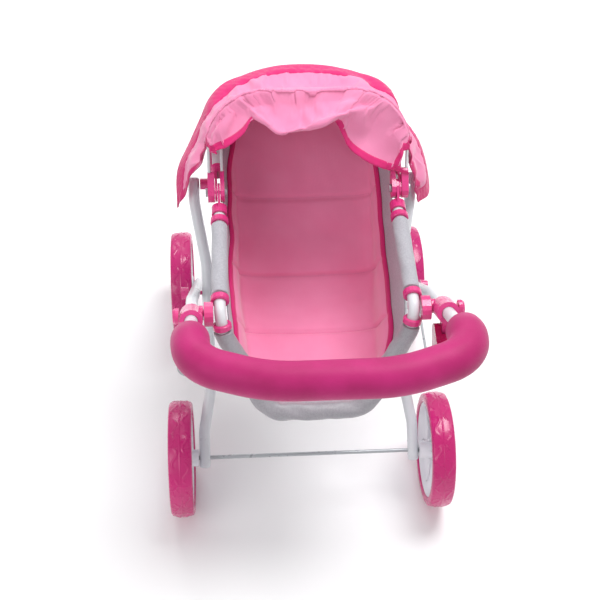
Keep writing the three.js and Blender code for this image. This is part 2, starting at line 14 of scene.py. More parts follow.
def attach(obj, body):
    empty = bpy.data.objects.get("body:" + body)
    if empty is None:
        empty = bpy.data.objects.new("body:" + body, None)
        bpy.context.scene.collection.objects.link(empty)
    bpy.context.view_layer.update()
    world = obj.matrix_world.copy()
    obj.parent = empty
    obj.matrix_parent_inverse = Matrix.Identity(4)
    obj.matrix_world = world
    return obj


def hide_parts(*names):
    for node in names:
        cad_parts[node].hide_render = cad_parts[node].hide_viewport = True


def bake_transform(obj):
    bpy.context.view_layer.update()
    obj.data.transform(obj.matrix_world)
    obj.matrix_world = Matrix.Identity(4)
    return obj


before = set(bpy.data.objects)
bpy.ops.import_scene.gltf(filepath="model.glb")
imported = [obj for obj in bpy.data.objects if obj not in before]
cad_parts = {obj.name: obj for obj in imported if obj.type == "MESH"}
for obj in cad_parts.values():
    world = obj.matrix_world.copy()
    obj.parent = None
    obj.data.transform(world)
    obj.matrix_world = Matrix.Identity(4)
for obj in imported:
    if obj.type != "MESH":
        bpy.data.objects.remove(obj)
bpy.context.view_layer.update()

MM = 0.001
SIDES = {"left": -1, "right": 1}
HUB_Y, HUB_Z = 75.0, 390.0


# ---------------------------------------------------------------- mesh helpers


def unit(v):
    """v at length 1."""
    return v / np.linalg.norm(v)


def bend(corners, step=6.0, spacing=12.0):
    """Points along straight runs and round bends; each corner is (x, y, z, bend radius)."""
    points = [np.array(c[:3], float) for c in corners]
    line = [points[0]]
    for i in range(1, len(points) - 1):
        into = unit(points[i] - points[i - 1])
        out = unit(points[i + 1] - points[i])
        turn = math.acos(float(np.clip(into @ out, -1, 1)))
        radius = corners[i][3]
        if turn < 1e-3 or radius <= 0:
            line.append(points[i])
            continue
        start = points[i] - into * radius * math.tan(turn / 2)
        centre = points[i] + unit(out - into) * radius / math.cos(turn / 2)
        axis = unit(np.cross(into, out))
        arm = start - centre
        count = max(2, math.ceil(math.degrees(turn) / step))
        for k in range(count + 1):
            angle = turn * k / count
            line.append(centre + arm * math.cos(angle) + np.cross(axis, arm) * math.sin(angle))
    line.append(points[-1])
    dense = [line[0]]
    for a, b in zip(line, line[1:]):
        count = max(1, math.ceil(np.linalg.norm(b - a) / spacing))
        dense += [a + (b - a) * k / count for k in range(1, count + 1)]
    return np.array(dense)


def mirrored(half):
    """A whole left-right path from its right half."""
    return list(half) + [(-c[0], *c[1:]) for c in reversed(half)]


def flip(corners, side):
    """The right-hand corners on the side that side says: 1 for right, -1 for left."""
    return [(side * c[0], *c[1:]) for c in corners]


def add_mesh(name, verts, faces, uvs=None):
    """A mesh from vertices in millimetres; uvs gives one (u, v) in metres per vertex."""
    mesh = bpy.data.meshes.new(name)
    mesh.from_pydata((np.asarray(verts) * MM).tolist(), [], faces)
    if uvs is not None:
        layer = mesh.uv_layers.new(name="UVMap")
        index = np.zeros(len(mesh.loops), int)
        mesh.loops.foreach_get("vertex_index", index)
        layer.data.foreach_set("uv", (np.asarray(uvs)[index] * MM).ravel())
    mesh.polygons.foreach_set("use_smooth", [True] * len(mesh.polygons))
    mesh.validate()
    obj = bpy.data.objects.new(name, mesh)
    bpy.context.scene.collection.objects.link(obj)
    return obj


def grid_faces(rows, columns, wrap=False):
    """Quads over rows x columns vertices, the columns joined into a ring where wrap is set."""
    faces = []
    across = columns if wrap else columns - 1
    for i in range(rows - 1):
        for j in range(across):
            k = (j + 1) % columns
            faces.append((i * columns + j, i * columns + k, (i + 1) * columns + k, (i + 1) * columns + j))
    return faces


def frames_along(points):
    """Tangent, side and up vectors at each point, turning as little as they can."""
    ahead = np.diff(points, axis=0)
    ahead /= np.linalg.norm(ahead, axis=1)[:, None]
    tangent = np.vstack([ahead[:1], ahead[:-1] + ahead[1:], ahead[-1:]])
    tangent /= np.linalg.norm(tangent, axis=1)[:, None]
    side = np.cross(tangent[0], (0, 0, 1) if abs(tangent[0][2]) < 0.9 else (0, 1, 0))
    sides = []
    for t in tangent:
        side = unit(side - (side @ t) * t)
        sides.append(side)
    sides = np.array(sides)
    return tangent, sides, np.cross(sides, tangent)


def sweep(name, points, radius, sides, edge=1.2):
    """A round bar along points, its ends rounded by edge.

    radius is a number, or a function of (length along, angle).
    """
    points = np.asarray(points, float)
    tangent, side, up = frames_along(points)
    length = np.concatenate([[0], np.cumsum(np.linalg.norm(np.diff(points, axis=0), axis=1))])
    angle = np.arange(sides) * 2 * math.pi / sides
    rings, uvs = [], []

    def ring(i, shift, shrink):
        """One ring of points around points[i], moved along the bar by shift and drawn in by shrink."""
        r = radius(length[i], angle) if callable(radius) else np.full(sides, float(radius))
        r = np.maximum(r - shrink, 0.05)
        spoke = np.cos(angle)[:, None] * side[i] + np.sin(angle)[:, None] * up[i]
        rings.append(points[i] + shift * tangent[i] + r[:, None] * spoke)
        mean = float(np.mean(r)) + shrink
        uvs.append(np.stack([np.full(sides, length[i] + shift), angle * mean], 1))

    big = radius(0.0, angle).max() if callable(radius) else radius
    ring(0, 0, big)
    ring(0, 0, edge)
    ring(0, 0.3 * edge, 0.3 * edge)
    ring(0, edge, 0)
    for i in range(1, len(points) - 1):
        ring(i, 0, 0)
    last = len(points) - 1
    ring(last, -edge, 0)
    ring(last, -0.3 * edge, 0.3 * edge)
    ring(last, 0, edge)
    ring(last, 0, big)
    verts = np.concatenate(rings)
    return add_mesh(name, verts, grid_faces(len(rings), sides, wrap=True), np.concatenate(uvs))


def lathe(name, profile, segments, relief=None):
    """A closed profile of (radius, x) turned about the X axis.

    relief(angle, x, r) lifts the surface outward.
    """
    profile = np.asarray(profile, float)
    angle = np.arange(segments) * 2 * math.pi / segments
    rings, uvs = [], []
    along = np.concatenate([[0], np.cumsum(np.linalg.norm(np.diff(profile, axis=0), axis=1))])
    for (r, x), s in zip(profile, along):
        radius = np.full(segments, r)
        if relief is not None:
            radius = radius + relief(angle, x, r)
        rings.append(np.stack([np.full(segments, x), radius * np.cos(angle), radius * np.sin(angle)], 1))
        uvs.append(np.stack([np.full(segments, s), angle * max(r, 1)], 1))
    rings.append(rings[0])
    uvs.append(uvs[0])
    count = len(rings) - 1
    faces = grid_faces(count, segments, wrap=True)
    for j in range(segments):
        k = (j + 1) % segments
        faces.append(((count - 1) * segments + j, (count - 1) * segments + k, k, j))
    return add_mesh(name, np.concatenate(rings[:count]), faces, np.concatenate(uvs[:count]))


def place(obj, x, y, z, turned):
    """Moves a mesh's own vertices, in millimetres, after half a turn about Z where turned is set."""
    if turned:
        obj.data.transform(Matrix.Rotation(math.pi, 4, "Z"))
    obj.data.transform(Matrix.Translation(Vector((x, y, z)) * MM))
    return obj


def finish_piece(obj, look, body, nodes):
    """Gives a piece its material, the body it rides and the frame's nodes it stands for."""
    obj.data.materials.clear()
    obj.data.materials.append(look)
    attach(obj, body)
    if nodes:
        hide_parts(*nodes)
    return obj


# ---------------------------------------------------------------- materials


def linear(hex_colour):
    """A linear colour from an sRGB hex string."""
    parts = [int(hex_colour[i : i + 2], 16) / 255 for i in (1, 3, 5)]
    return [c / 12.92 if c <= 0.04045 else ((c + 0.055) / 1.055) ** 2.4 for c in parts] + [1.0]


class Look:
    """A small builder for one procedural material."""

    def __init__(self, name, colour, rough, metallic=0.0, sheen=0.0, coat=0.0, ior=1.5):
        self.material = bpy.data.materials.new(name)
        self.material.use_nodes = True
        self.tree = self.material.node_tree
        self.shader = self.tree.nodes["Principled BSDF"]
        self.shader.inputs["Base Color"].default_value = linear(colour)
        self.shader.inputs["Roughness"].default_value = rough
        self.shader.inputs["Metallic"].default_value = metallic
        self.shader.inputs["IOR"].default_value = ior
        self.shader.inputs["Sheen Weight"].default_value = sheen
        self.shader.inputs["Coat Weight"].default_value = coat
        self.shader.inputs["Coat Roughness"].default_value = 0.12
        self.coords = self.node("ShaderNodeTexCoord")
        self.last_bump = None

    def node(self, kind, **values):
        """A new node, with each value set on its input of that name or as a setting."""
        made = self.tree.nodes.new(kind)
        for key, value in values.items():
            if key in made.inputs:
                made.inputs[key].default_value = value
            else:
                setattr(made, key, value)
        return made

    def link(self, a, b):
        """Joins output a to input b."""
        self.tree.links.new(a, b)

    def noise(self, scale, detail, rough=0.5):
        """Cloudy values over the piece."""
        made = self.node("ShaderNodeTexNoise", Scale=scale, Detail=detail, Roughness=rough)
        self.link(self.coords.outputs["Object"], made.inputs["Vector"])
        return made.outputs["Fac"]

    def wave(self, scale, direction, distortion):
        """Threads running one way across the cloth's metric UVs."""
        made = self.node("ShaderNodeTexWave", Scale=scale, Distortion=distortion)
        made.bands_direction = direction
        made.wave_profile = "SIN"
        made.inputs["Detail Scale"].default_value = 2.0
        self.link(self.coords.outputs["UV"], made.inputs["Vector"])
        return made.outputs["Fac"]

    def voronoi(self, scale):
        """Small round cells over the piece."""
        made = self.node("ShaderNodeTexVoronoi", Scale=scale)
        self.link(self.coords.outputs["Object"], made.inputs["Vector"])
        return made.outputs["Distance"]

    def math(self, operation, a, b):
        """A maths node on two numbers or outputs."""
        made = self.node("ShaderNodeMath")
        made.operation = operation
        for socket, value in zip(made.inputs, (a, b)):
            if isinstance(value, (int, float)):
                socket.default_value = value
            else:
                self.link(value, socket)
        return made.outputs[0]

    def ramp(self, value, low, high, floor=0.0, top=1.0):
        """value carried from the span low-high to the span floor-top."""
        made = self.node("ShaderNodeMapRange")
        made.inputs["From Min"].default_value = low
        made.inputs["From Max"].default_value = high
        made.inputs["To Min"].default_value = floor
        made.inputs["To Max"].default_value = top
        self.link(value, made.inputs["Value"])
        return made.outputs["Result"]

    def tint(self, value, colour, other):
        """Base colour mixed from colour to other by value."""
        made = self.node("ShaderNodeMix")
        made.data_type = "RGBA"
        made.inputs[6].default_value = linear(colour)
        made.inputs[7].default_value = linear(other)
        self.link(value, made.inputs[0])
        self.link(made.outputs[2], self.shader.inputs["Base Color"])
        return made.outputs[2]

    def rough(self, value, low, high):
        """Roughness that wanders between low and high with value."""
        self.link(self.ramp(value, 0.3, 0.7, low, high), self.shader.inputs["Roughness"])

    def bump(self, height, strength, distance):
        """Adds height, distance metres deep, to the bumps already there."""
        made = self.node("ShaderNodeBump", Strength=strength, Distance=distance)
        self.link(height, made.inputs["Height"])
        if self.last_bump:
            self.link(self.last_bump, made.inputs["Normal"])
        self.last_bump = made.outputs["Normal"]
        self.link(self.last_bump, self.shader.inputs["Normal"])


def plastic(name, colour, dark, rough=0.24, coat=0.3):
    """Smooth moulded plastic with a faint mottle and soft highlights."""
    look = Look(name, colour, rough, coat=coat, ior=1.49)
    wide = look.noise(22, 4)
    look.tint(look.ramp(wide, 0.25, 0.8), colour, dark)
    look.rough(look.noise(60, 5), rough - 0.05, rough + 0.14)
    look.bump(look.noise(260, 2), 0.25, 0.0002)
    look.bump(look.noise(38, 2), 0.18, 0.0006)
    return look.material


def powder_coat(name, colour):
    """Baked paint on a pipe."""
    look = Look(name, colour, 0.33, coat=0.15)
    look.tint(look.ramp(look.noise(14, 5), 0.3, 0.8), colour, "#cfd1d6")
    look.rough(look.noise(90, 4), 0.26, 0.42)
    look.bump(look.noise(900, 2), 0.3, 0.00012)
    look.bump(look.noise(60, 3), 0.1, 0.0004)
    return look.material


def steel(name):
    """Dull plated wire."""
    look = Look(name, "#adb1b5", 0.36, metallic=0.4)
    look.rough(look.noise(140, 5), 0.24, 0.45)
    look.bump(look.noise(500, 3), 0.2, 0.0001)
    return look.material


def foam(name):
    """Soft closed-cell foam with fine pores."""
    look = Look(name, "#b4236d", 0.5, sheen=0.08)
    look.shader.inputs["Specular IOR Level"].default_value = 0.22
    pores = look.voronoi(900)
    look.tint(look.ramp(look.noise(30, 4), 0.3, 0.8), "#b92670", "#a51d5f")
    look.bump(look.ramp(pores, 0.0, 0.5), 0.35, 0.0003)
    look.bump(look.noise(70, 4), 0.2, 0.0008)
    return look.material


def woven(name, colour, other, period=0.9, sheen=0.35, rough=0.82, melange=False):
    """Plain weave drawn from the metric UVs, with a slow tint and a fuzzy surface."""
    look = Look(name, colour, rough, sheen=sheen)
    look.shader.inputs["Sheen Roughness"].default_value = 0.45
    scale = 1 / (period * MM) / (2 * math.pi)
    warp = look.wave(scale, "X", 0.6)
    weft = look.wave(scale, "Y", 0.6)
    weave = look.math("MULTIPLY", warp, weft)
    if melange:
        flecks = look.noise(520, 6, 0.75)
        look.tint(look.ramp(flecks, 0.36, 0.66), colour, other)
    else:
        look.tint(look.ramp(look.noise(26, 5), 0.25, 0.8), colour, other)
    look.bump(weave, 0.35, 0.00035)
    look.bump(look.noise(160, 4), 0.14, 0.0004)
    look.bump(look.noise(36, 3), 0.14, 0.0012)
    return look.material


PINK = plastic("pink plastic", "#dd4088", "#cf3078")
TREAD = plastic("pink tread", "#ca1874", "#b51064", rough=0.24, coat=0.25)
# Painted shade: the fold latch is the same pink plastic as the other fittings, made darker here for the
# shadow it sits in under the clamp and the grip.
SHADED_PINK = plastic("pink plastic in painted shade", "#bf1259", "#a90d4b", rough=0.18, coat=0.5)
DISC = plastic("white plastic", "#eceaf0", "#e0dee6", rough=0.36, coat=0.1)
WHITE = powder_coat("white powder coat", "#dfe1e5")
STEEL = steel("steel wire")
FOAM = foam("pink foam")
HOOD = woven("hood cloth", "#ec8fb6", "#e680ab")
BINDING = woven("magenta binding", "#d81f74", "#c91768", period=0.8)
GREY = woven("grey cloth", "#b9b6bd", "#96929b", melange=True)
SATIN = woven("satin sleeve cloth", "#a19ea4", "#8f8c93", sheen=0.2, rough=0.42, melange=True)
SLEEVE = woven("sleeve cloth", "#b4b4ba", "#9f9ea6", melange=True)
PAD = woven("pad cloth", "#f291b8", "#ee84ae", sheen=0.45)
THREAD = woven("thread", "#e67fab", "#df72a1", period=0.5)


# ---------------------------------------------------------------- wheels


TRACK_HALF = 163
CAP_SEAT = 171.3
AXLE_END = 170.7
TREAD_FROM = 66
SQUIGGLES = 12
RIBS = 6
FIRST_RIB = 0.3


def squiggles(angle, x, r):
    """Two staggered rows of raised S-shaped ribs on the tread."""
    if r < TREAD_FROM:
        return np.zeros_like(angle)
    lift = np.zeros_like(angle)
    for row, offset in ((-6.8, 0.0), (6.8, 0.5)):
        turn = (angle * SQUIGGLES / (2 * math.pi) + offset) % 1.0
        centre = row + 3.4 * np.sin(turn * 2.9 * math.pi)
        present = np.clip(np.minimum(turn, 0.74 - turn) * 12, 0, 1)
        lift += 0.75 * np.exp(-(((x - centre) / 1.3) ** 2)) * present
    return lift


def make_tyre(name):
    """A broad tyre with a thin moulding line around the middle of its tread."""
    profile = [(61.2, -13.2), (62.5, -14.4), (66, -14.75), (69.5, -14.5), (71.8, -13.2)]
    for x in np.linspace(-12.4, 12.4, 44):
        profile.append((75.0 - 1.3 - 0.0105 * x * x + 0.5 * math.exp(-((x / 0.7) ** 2)), x))
    profile += [(71.8, 13.2), (69.5, 14.5), (66, 14.75), (62.5, 14.4), (61.2, 13.2)]
    return lathe(name, profile, 480, squiggles)


def make_disc(name, boss):
    """A dished disc; boss is how far its hub runs inwards to the leg."""
    profile = [(3.0, -boss), (9.6, -boss), (10.6, -boss + 0.8), (11.2, -6), (14, -4.4), (40, -4.0),
               (54, -5.0), (58.4, -7), (59.4, -12.2), (60.9, -12.6), (60.9, 12.6), (59.4, 12.2), (58.2, 5),
               (54, 1.2), (40, 0.4), (20, 0.8), (16, 2.0), (14.6, 7.2), (13.6, 8.0), (3.0, 8.0)]
    return lathe(name, profile, 128)


def make_cap(name):
    """A domed hub cap."""
    profile = [(0.1, 0), (12.6, 0), (13, 0.5), (12.9, 1.6), (11.6, 3.4), (8.4, 5.0), (4.2, 5.8), (0.1, 6)]
    return lathe(name, profile, 64)


def make_rib(name, angle):
    """One thin stiffening rib on the wheel disc's inner face."""
    outline = [(13.5, -9), (16, -8.6), (30, -6.0), (52, -6.6), (57, -8), (57, -4.4), (13.5, -4.2)]
    verts = []
    for half in (-0.8, 0.8):
        for r, x in outline:
            y = r * math.cos(angle) - half * math.sin(angle)
            z = r * math.sin(angle) + half * math.cos(angle)
            verts.append((x, y, z))
    n = len(outline)
    faces = [tuple(range(n)), tuple(reversed(range(n, 2 * n)))]
    faces += [(i, i + n, (i + 1) % n + n, (i + 1) % n) for i in range(n)]
    return add_mesh(name, verts, faces)


# The y and z of each axle, and the x of the leg's outer face that its wheels run against.
AXLES = {"rear": (-83, 75, 141.8), "front": (220, 75, 147.8)}
for end, (y, z, leg_face) in AXLES.items():
    for name, side in SIDES.items():
        corner = f"{end}_{name}"
        body = f"wheel_{corner}"
        turned = side < 0
        tyre = place(make_tyre(f"look_tyre_{corner}"), side * TRACK_HALF, y, z, turned)
        finish_piece(tyre, TREAD, body, [f"tyre_{corner}"])
        disc = make_disc(f"look_disc_{corner}", TRACK_HALF - leg_face)
        place(disc, side * TRACK_HALF, y, z, turned)
        finish_piece(disc, DISC, body, [f"wheel_disc_{corner}"])
        cap = place(make_cap(f"look_cap_{corner}"), side * CAP_SEAT, y, z, turned)
        finish_piece(cap, PINK, body, [f"hub_cap_{corner}"])
        for k in range(RIBS):
            rib = make_rib(f"look_rib_{corner}_{k}", k * 2 * math.pi / RIBS + FIRST_RIB)
            place(rib, side * TRACK_HALF, y, z, turned)
            finish_piece(rib, DISC, body, ())


# ---------------------------------------------------------------- pipes and wires

ARM_BEND = (140, -23, 312, 150)
GRIP_HALF = [(135, -216, 466, 40), (131, -250, 477, 42), (62, -275.5, 479, 150)]
LEG_DOWN = unit(np.array([0, 243.0, -237.0]))
FOOT = np.array([140, 220, 75]) + 12.5 * LEG_DOWN


def arm_point(y):
    """The handle arm's centre at this y."""
    (low_x, low_y, low_z), (high_x, high_y, high_z) = ARM_BEND[:3], GRIP_HALF[0][:3]
    t = (y - low_y) / (high_y - low_y)
    return (low_x + (high_x - low_x) * t, y, low_z + (high_z - low_z) * t)


handle = sweep("look_handle", bend(mirrored([(*FOOT, 0), ARM_BEND, *GRIP_HALF])), 7, 28, edge=2.2)
finish_piece(handle, WHITE, "front_frame", ["handle_frame"])


def foam_radius(s, angle):
    """Even foam with slight hand-worn softness and tapered lips at both ends."""
    wobble = 0.22 * np.sin(angle * 2 + s * 0.013) + 0.18 * math.sin(s * 0.021)
    return 19.3 + wobble


grip_line = bend(mirrored([(*arm_point(-200), 0), *GRIP_HALF]), 4, 5)
grip = sweep("look_grip", grip_line, foam_radius, 56, edge=3.4)
finish_piece(grip, FOAM, "front_frame", ["grip_foam"])


REAR_LEG_SLOPE = 1.013


def leg_at(x, y, r=0.0):
    """A corner of the right rear leg, which rises in one straight slope; r is its bend radius."""
    axle_y, axle_z, _ = AXLES["rear"]
    return (x, y, axle_z + REAR_LEG_SLOPE * (y - axle_y), r)


REAR_LEG = [leg_at(134, -92), leg_at(133.5, -58, 60), leg_at(124, -22, 60), leg_at(124, 90, 90),
            leg_at(137, 146, 90), leg_at(137, 168)]
RAIL_HALF = [(105, 53, 377, 0), (107, -95, 368.5, 14), (103, -106, 340, 40), (78, -122, 304, 50),
             (60, -144, 251, 38)]
BACK_HALF = [(106, 104, 395.2, 0), (106, 245, 420.6, 52)]


BOW_FOOT = 13.6


def bow_path(x, reach, lean, corner, spacing=12.0):
    """A hood bow's centre line: x from the middle, reach from the hub, leaning back by lean degrees."""
    lean = math.radians(lean)

    def at(side, r, bend_radius=0.0):
        """A corner of the bow at r from the hub."""
        return (side * x, HUB_Y + r * math.sin(lean), HUB_Z + r * math.cos(lean), bend_radius)

    corners = [at(1, BOW_FOOT), at(1, reach, corner), at(-1, reach, corner), at(-1, BOW_FOOT)]
    return bend(corners, 6.0, spacing)


for name, side in SIDES.items():
    leg = sweep(f"look_rear_leg_{name}", bend(flip(REAR_LEG, side)), 7, 28, edge=2.4)
    finish_piece(leg, WHITE, "rear_frame", [f"rear_leg_{name}"])
    wire = [(131, 179, 115, 0), (124, 179, 115, 4), (124, 137, 97, 6), (168, 134, 97, 6), (168, 34, 97, 14),
            (136, 34, 97, 0)]
    brake = sweep(f"look_brake_{name}", bend(flip(wire, side), 10), 1.75, 14, edge=0.5)
    finish_piece(brake, STEEL, f"brake_{name}", [f"brake_wire_{name}"])

rail = sweep("look_seat_frame", bend(mirrored(RAIL_HALF)), 6.5, 28)
finish_piece(rail, WHITE, "seat_rail", ["seat_frame_tube"])
hoop = sweep("look_back_frame", bend(mirrored(BACK_HALF)), 6, 24)
finish_piece(hoop, WHITE, "back", ["back_frame_tube"])
FRONT_BOW = (115.6, 117, 25, 68)
REAR_BOW = (100.7, 112, 50, 62)
front_bow = sweep("look_front_bow", bow_path(*FRONT_BOW), 1.8, 16, edge=0.4)
finish_piece(front_bow, WHITE, "hood_front", ["front_bow"])
rear_bow = sweep("look_rear_bow", bow_path(*REAR_BOW), 1.8, 16, edge=0.4)
finish_piece(rear_bow, WHITE, "hood_rear", ["rear_bow"])
for end, (y, z, _) in AXLES.items():
    axle = sweep(f"look_axle_{end}", [(-AXLE_END, y, z), (0, y, z), (AXLE_END, y, z)], 2.5, 24, edge=0.4)
    finish_piece(axle, STEEL, f"{end}_frame", [f"{end}_axle"])


# ---------------------------------------------------------------- plastic fittings kept as the frame has them

KEPT = {
    "pink_plastic": (PINK, ["handle_clamp", "clamp_cap", "rail_bracket", "rail_knuckle", "back_knuckle",
                            "back_bracket", "front_bow_hub", "rear_bow_hub", "rail_ring_upper",
                            "rail_ring_middle", "rail_ring_lower", "cross_bolt"]),
    # The fold latch takes the pink plastic darkened as painted shade.
    "deep_pink_plastic": (SHADED_PINK, ["fold_latch"]),
    "steel": (STEEL, ["hub_screw"]),
}
for slot_name, (look, stems) in KEPT.items():
    for stem in stems:
        for name in SIDES:
            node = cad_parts[f"{stem}_{name}"]
            node.data.materials.clear()
            node.data.materials.append(look)
            node.data.polygons.foreach_set("use_smooth", [True] * len(node.data.polygons))
            bevel = node.modifiers.new("soft edges", "BEVEL")
            bevel.width = (3.4 if stem == "fold_latch" else 0.7) * MM
            bevel.segments = 4
            bevel.limit_method = "ANGLE"
            bevel.angle_limit = math.radians(40)
            bevel.harden_normals = True

# ---------------------------------------------------------------- cloth helpers


def curve(points, count):
    """count points, evenly spaced, on a smooth curve through points."""
    p = np.array(points, float)
    if len(p) > 2:
        ends = np.vstack([2 * p[0] - p[1], p, 2 * p[-1] - p[-2]])
        fine = []
        for i in range(len(p) - 1):
            a, b, c, d = ends[i : i + 4]
            for t in np.linspace(0, 1, 13)[: 13 if i == len(p) - 2 else 12]:
                fine.append(0.5 * (2 * b + (c - a) * t + (2 * a - 5 * b + 4 * c - d) * t**2
                                   + (3 * b - 3 * c + d - a) * t**3))
        p = np.array(fine)
    along = np.concatenate([[0], np.cumsum(np.linalg.norm(np.diff(p, axis=0), axis=1))])
    want = np.linspace(0, along[-1], count)
    return np.stack([np.interp(want, along, p[:, k]) for k in range(3)], 1)


def whole(half):
    """A full row, left to right, from its right half; the last point is on the centre line."""
    half = [tuple(map(float, p)) for p in half]
    return [(-x, y, z) for x, y, z in half] + [p for p in reversed(half) if p[0] > 0]


def lengths(grid):
    """Metric (u, v) for every point of a rows x columns grid, from the mean spacing along each way."""
    across = np.linalg.norm(np.diff(grid, axis=1), axis=2)
    along = np.linalg.norm(np.diff(grid, axis=0), axis=2)
    u = np.concatenate([np.zeros((grid.shape[0], 1)), np.cumsum(across, axis=1)], 1)
    u -= u[:, -1:] / 2
    v = np.concatenate([np.zeros((1, grid.shape[1])), np.cumsum(along, axis=0)], 0)
    return np.stack([u, v], 2)


def normals(grid):
    """Unit normals of a rows x columns grid."""
    du = np.gradient(grid, axis=1)
    dv = np.gradient(grid, axis=0)
    n = np.cross(du, dv)
    return n / np.maximum(np.linalg.norm(n, axis=2, keepdims=True), 1e-9)


def upward(grid):
    """The grid's unit normals, turned so that they point up at its middle."""
    n = normals(grid)
    return -n if n[n.shape[0] // 2, n.shape[1] // 2, 2] < 0 else n


def cut_size(grid):
    """The greatest width and greatest length of a cloth's cut, in metres."""
    uv = lengths(grid)
    return float(np.ptp(uv[:, :, 0], axis=1).max()) * MM, float(uv[-1, :, 1].max()) * MM


def cloth(name, grid, look, thick):
    """A thin cloth over a rows x columns grid, with metric UVs."""
    rows, columns = grid.shape[:2]
    obj = add_mesh(name, grid.reshape(-1, 3), grid_faces(rows, columns), lengths(grid).reshape(-1, 2))
    obj.data.materials.append(look)
    solid = obj.modifiers.new("cloth thickness", "SOLIDIFY")
    solid.thickness = thick * MM
    solid.offset = 0
    return obj


DRAPE_FRAMES = 22


def settle(grid, pinned, slack, cap, stiff):
    """Drapes a grid as cloth: pinned holds 0-1 per point, and stiff is how hard the cloth is to bend.

    No point ends further than cap from where it began.
    """
    rows, columns = grid.shape[:2]
    obj = add_mesh("draping", grid.reshape(-1, 3), grid_faces(rows, columns))
    group = obj.vertex_groups.new(name="pins")
    for i, weight in enumerate(pinned.ravel()):
        group.add([i], float(weight), "REPLACE")
    modifier = obj.modifiers.new("drape", "CLOTH")
    settings = modifier.settings
    settings.quality = 7
    settings.mass = 0.08
    settings.tension_stiffness = 14
    settings.compression_stiffness = 10
    settings.shear_stiffness = 4
    settings.bending_stiffness = stiff
    settings.vertex_group_mass = "pins"
    settings.pin_stiffness = 1.5
    settings.shrink_min = -slack
    modifier.collision_settings.use_collision = False
    modifier.point_cache.frame_start = 1
    modifier.point_cache.frame_end = DRAPE_FRAMES
    scene = bpy.context.scene
    for f in range(1, DRAPE_FRAMES + 1):
        scene.frame_set(f)
    evaluated = obj.evaluated_get(bpy.context.evaluated_depsgraph_get()).to_mesh()
    moved = np.zeros(rows * columns * 3)
    evaluated.vertices.foreach_get("co", moved)
    moved = moved.reshape(rows, columns, 3) / MM
    scene.frame_set(1)
    mesh = obj.data
    bpy.data.objects.remove(obj)
    bpy.data.meshes.remove(mesh)
    shift = moved - grid
    size = np.linalg.norm(shift, axis=2, keepdims=True)
    return grid + shift * np.minimum(1, cap / np.maximum(size, 1e-9))


def finer(grid):
    """The same surface with twice as many cells each way, through smooth curves."""
    rows, columns = grid.shape[:2]
    more = np.array([smooth_line(r, 2 * columns - 1) for r in grid]).transpose(1, 0, 2)
    return np.array([smooth_line(c, 2 * rows - 1) for c in more]).transpose(1, 0, 2)


def smooth_line(p, count):
    """p resampled at even steps of its index, through a smooth curve."""
    ends = np.vstack([2 * p[0] - p[1], p, 2 * p[-1] - p[-2]])
    at = np.linspace(0, len(p) - 1, count)
    i = np.minimum(at.astype(int), len(p) - 2)
    t = (at - i)[:, None]
    a, b, c, d = ends[i], ends[i + 1], ends[i + 2], ends[i + 3]
    return 0.5 * (2 * b + (c - a) * t + (2 * a - 5 * b + 4 * c - d) * t**2 + (3 * b - 3 * c + d - a) * t**3)


def inward(lines, distances):
    """For each line of points starting at an edge, the points at these distances along it."""
    out = []
    for line in lines:
        s = np.concatenate([[0], np.cumsum(np.linalg.norm(np.diff(line, axis=0), axis=1))])
        out.append([[np.interp(d, s, line[:, k]) for k in range(3)] for d in distances])
    return np.array(out)


def ribbon(name, lines, width, look, lift=0.95):
    """A binding folded over an edge; lines are the cloth's points, running inwards from that edge."""
    steps = np.linspace(width, 0, max(4, round(width / 1.8)))
    at = inward(lines, steps)
    along = np.gradient(at[:, -1], axis=0)
    into = at[:, 0] - at[:, -1]
    n = np.cross(along, into)
    n /= np.maximum(np.linalg.norm(n, axis=1, keepdims=True), 1e-9)
    out = -into / np.maximum(np.linalg.norm(into, axis=1, keepdims=True), 1e-9)
    count = len(steps)
    full = [lift * (0.72 if k == 0 else 1.0) for k in range(count)]
    upper = [at[:, k] + full[k] * n for k in range(count)]
    lower = [at[:, k] - full[k] * n for k in reversed(range(count))]
    ring = np.stack(upper + [at[:, -1] + out * lift] + lower, 1)
    rows, columns = ring.shape[:2]
    faces = grid_faces(rows, columns, wrap=True)
    faces += [tuple(range(columns)), tuple(reversed(range((rows - 1) * columns, rows * columns)))]
    s = np.concatenate([[0], np.cumsum(np.linalg.norm(np.diff(at[:, -1], axis=0), axis=1))])
    around = np.linspace(0, 2 * width, columns)
    uv = np.stack([np.repeat(s[:, None], columns, 1), np.repeat(around[None], rows, 0)], 2)
    obj = add_mesh(name, ring.reshape(-1, 3), faces, uv.reshape(-1, 2))
    obj.data.materials.append(look)
    return obj


STITCH_PITCH, STITCH_LONG, STITCH_WIDE, STITCH_HIGH = 3.4, 2.1, 0.5, 0.2
STITCH_BASE = 0.42


def stitches(name, line, up):
    """A row of separate sewn stitches along line, standing on the side that up points to."""
    s = np.concatenate([[0], np.cumsum(np.linalg.norm(np.diff(line, axis=0), axis=1))])
    verts, faces = [], []
    corners = [(-1, -1, 0), (1, -1, 0), (1, 1, 0), (-1, 1, 0),
               (-0.8, -0.6, 1), (0.8, -0.6, 1), (0.8, 0.6, 1), (-0.8, 0.6, 1)]
    sides = [(0, 3, 2, 1), (4, 5, 6, 7), (0, 1, 5, 4), (1, 2, 6, 5), (2, 3, 7, 6), (3, 0, 4, 7)]
    for d in np.arange(STITCH_PITCH, s[-1] - STITCH_PITCH, STITCH_PITCH):
        a, b, c, n = (np.array([np.interp(x, s, arr[:, k]) for k in range(3)])
                      for x, arr in ((d - 1, line), (d + 1, line), (d, line), (d, up)))
        t = unit(b - a)
        n = unit(n - (n @ t) * t)
        w = np.cross(n, t)
        first = len(verts)
        for x, y, z in corners:
            flat = t * x * STITCH_LONG / 2 + w * y * STITCH_WIDE / 2
            verts.append(c + flat + n * (STITCH_BASE + z * STITCH_HIGH))
        faces += [tuple(first + i for i in side) for side in sides]
    obj = add_mesh(name, verts, faces)
    obj.data.materials.append(THREAD)
    return obj


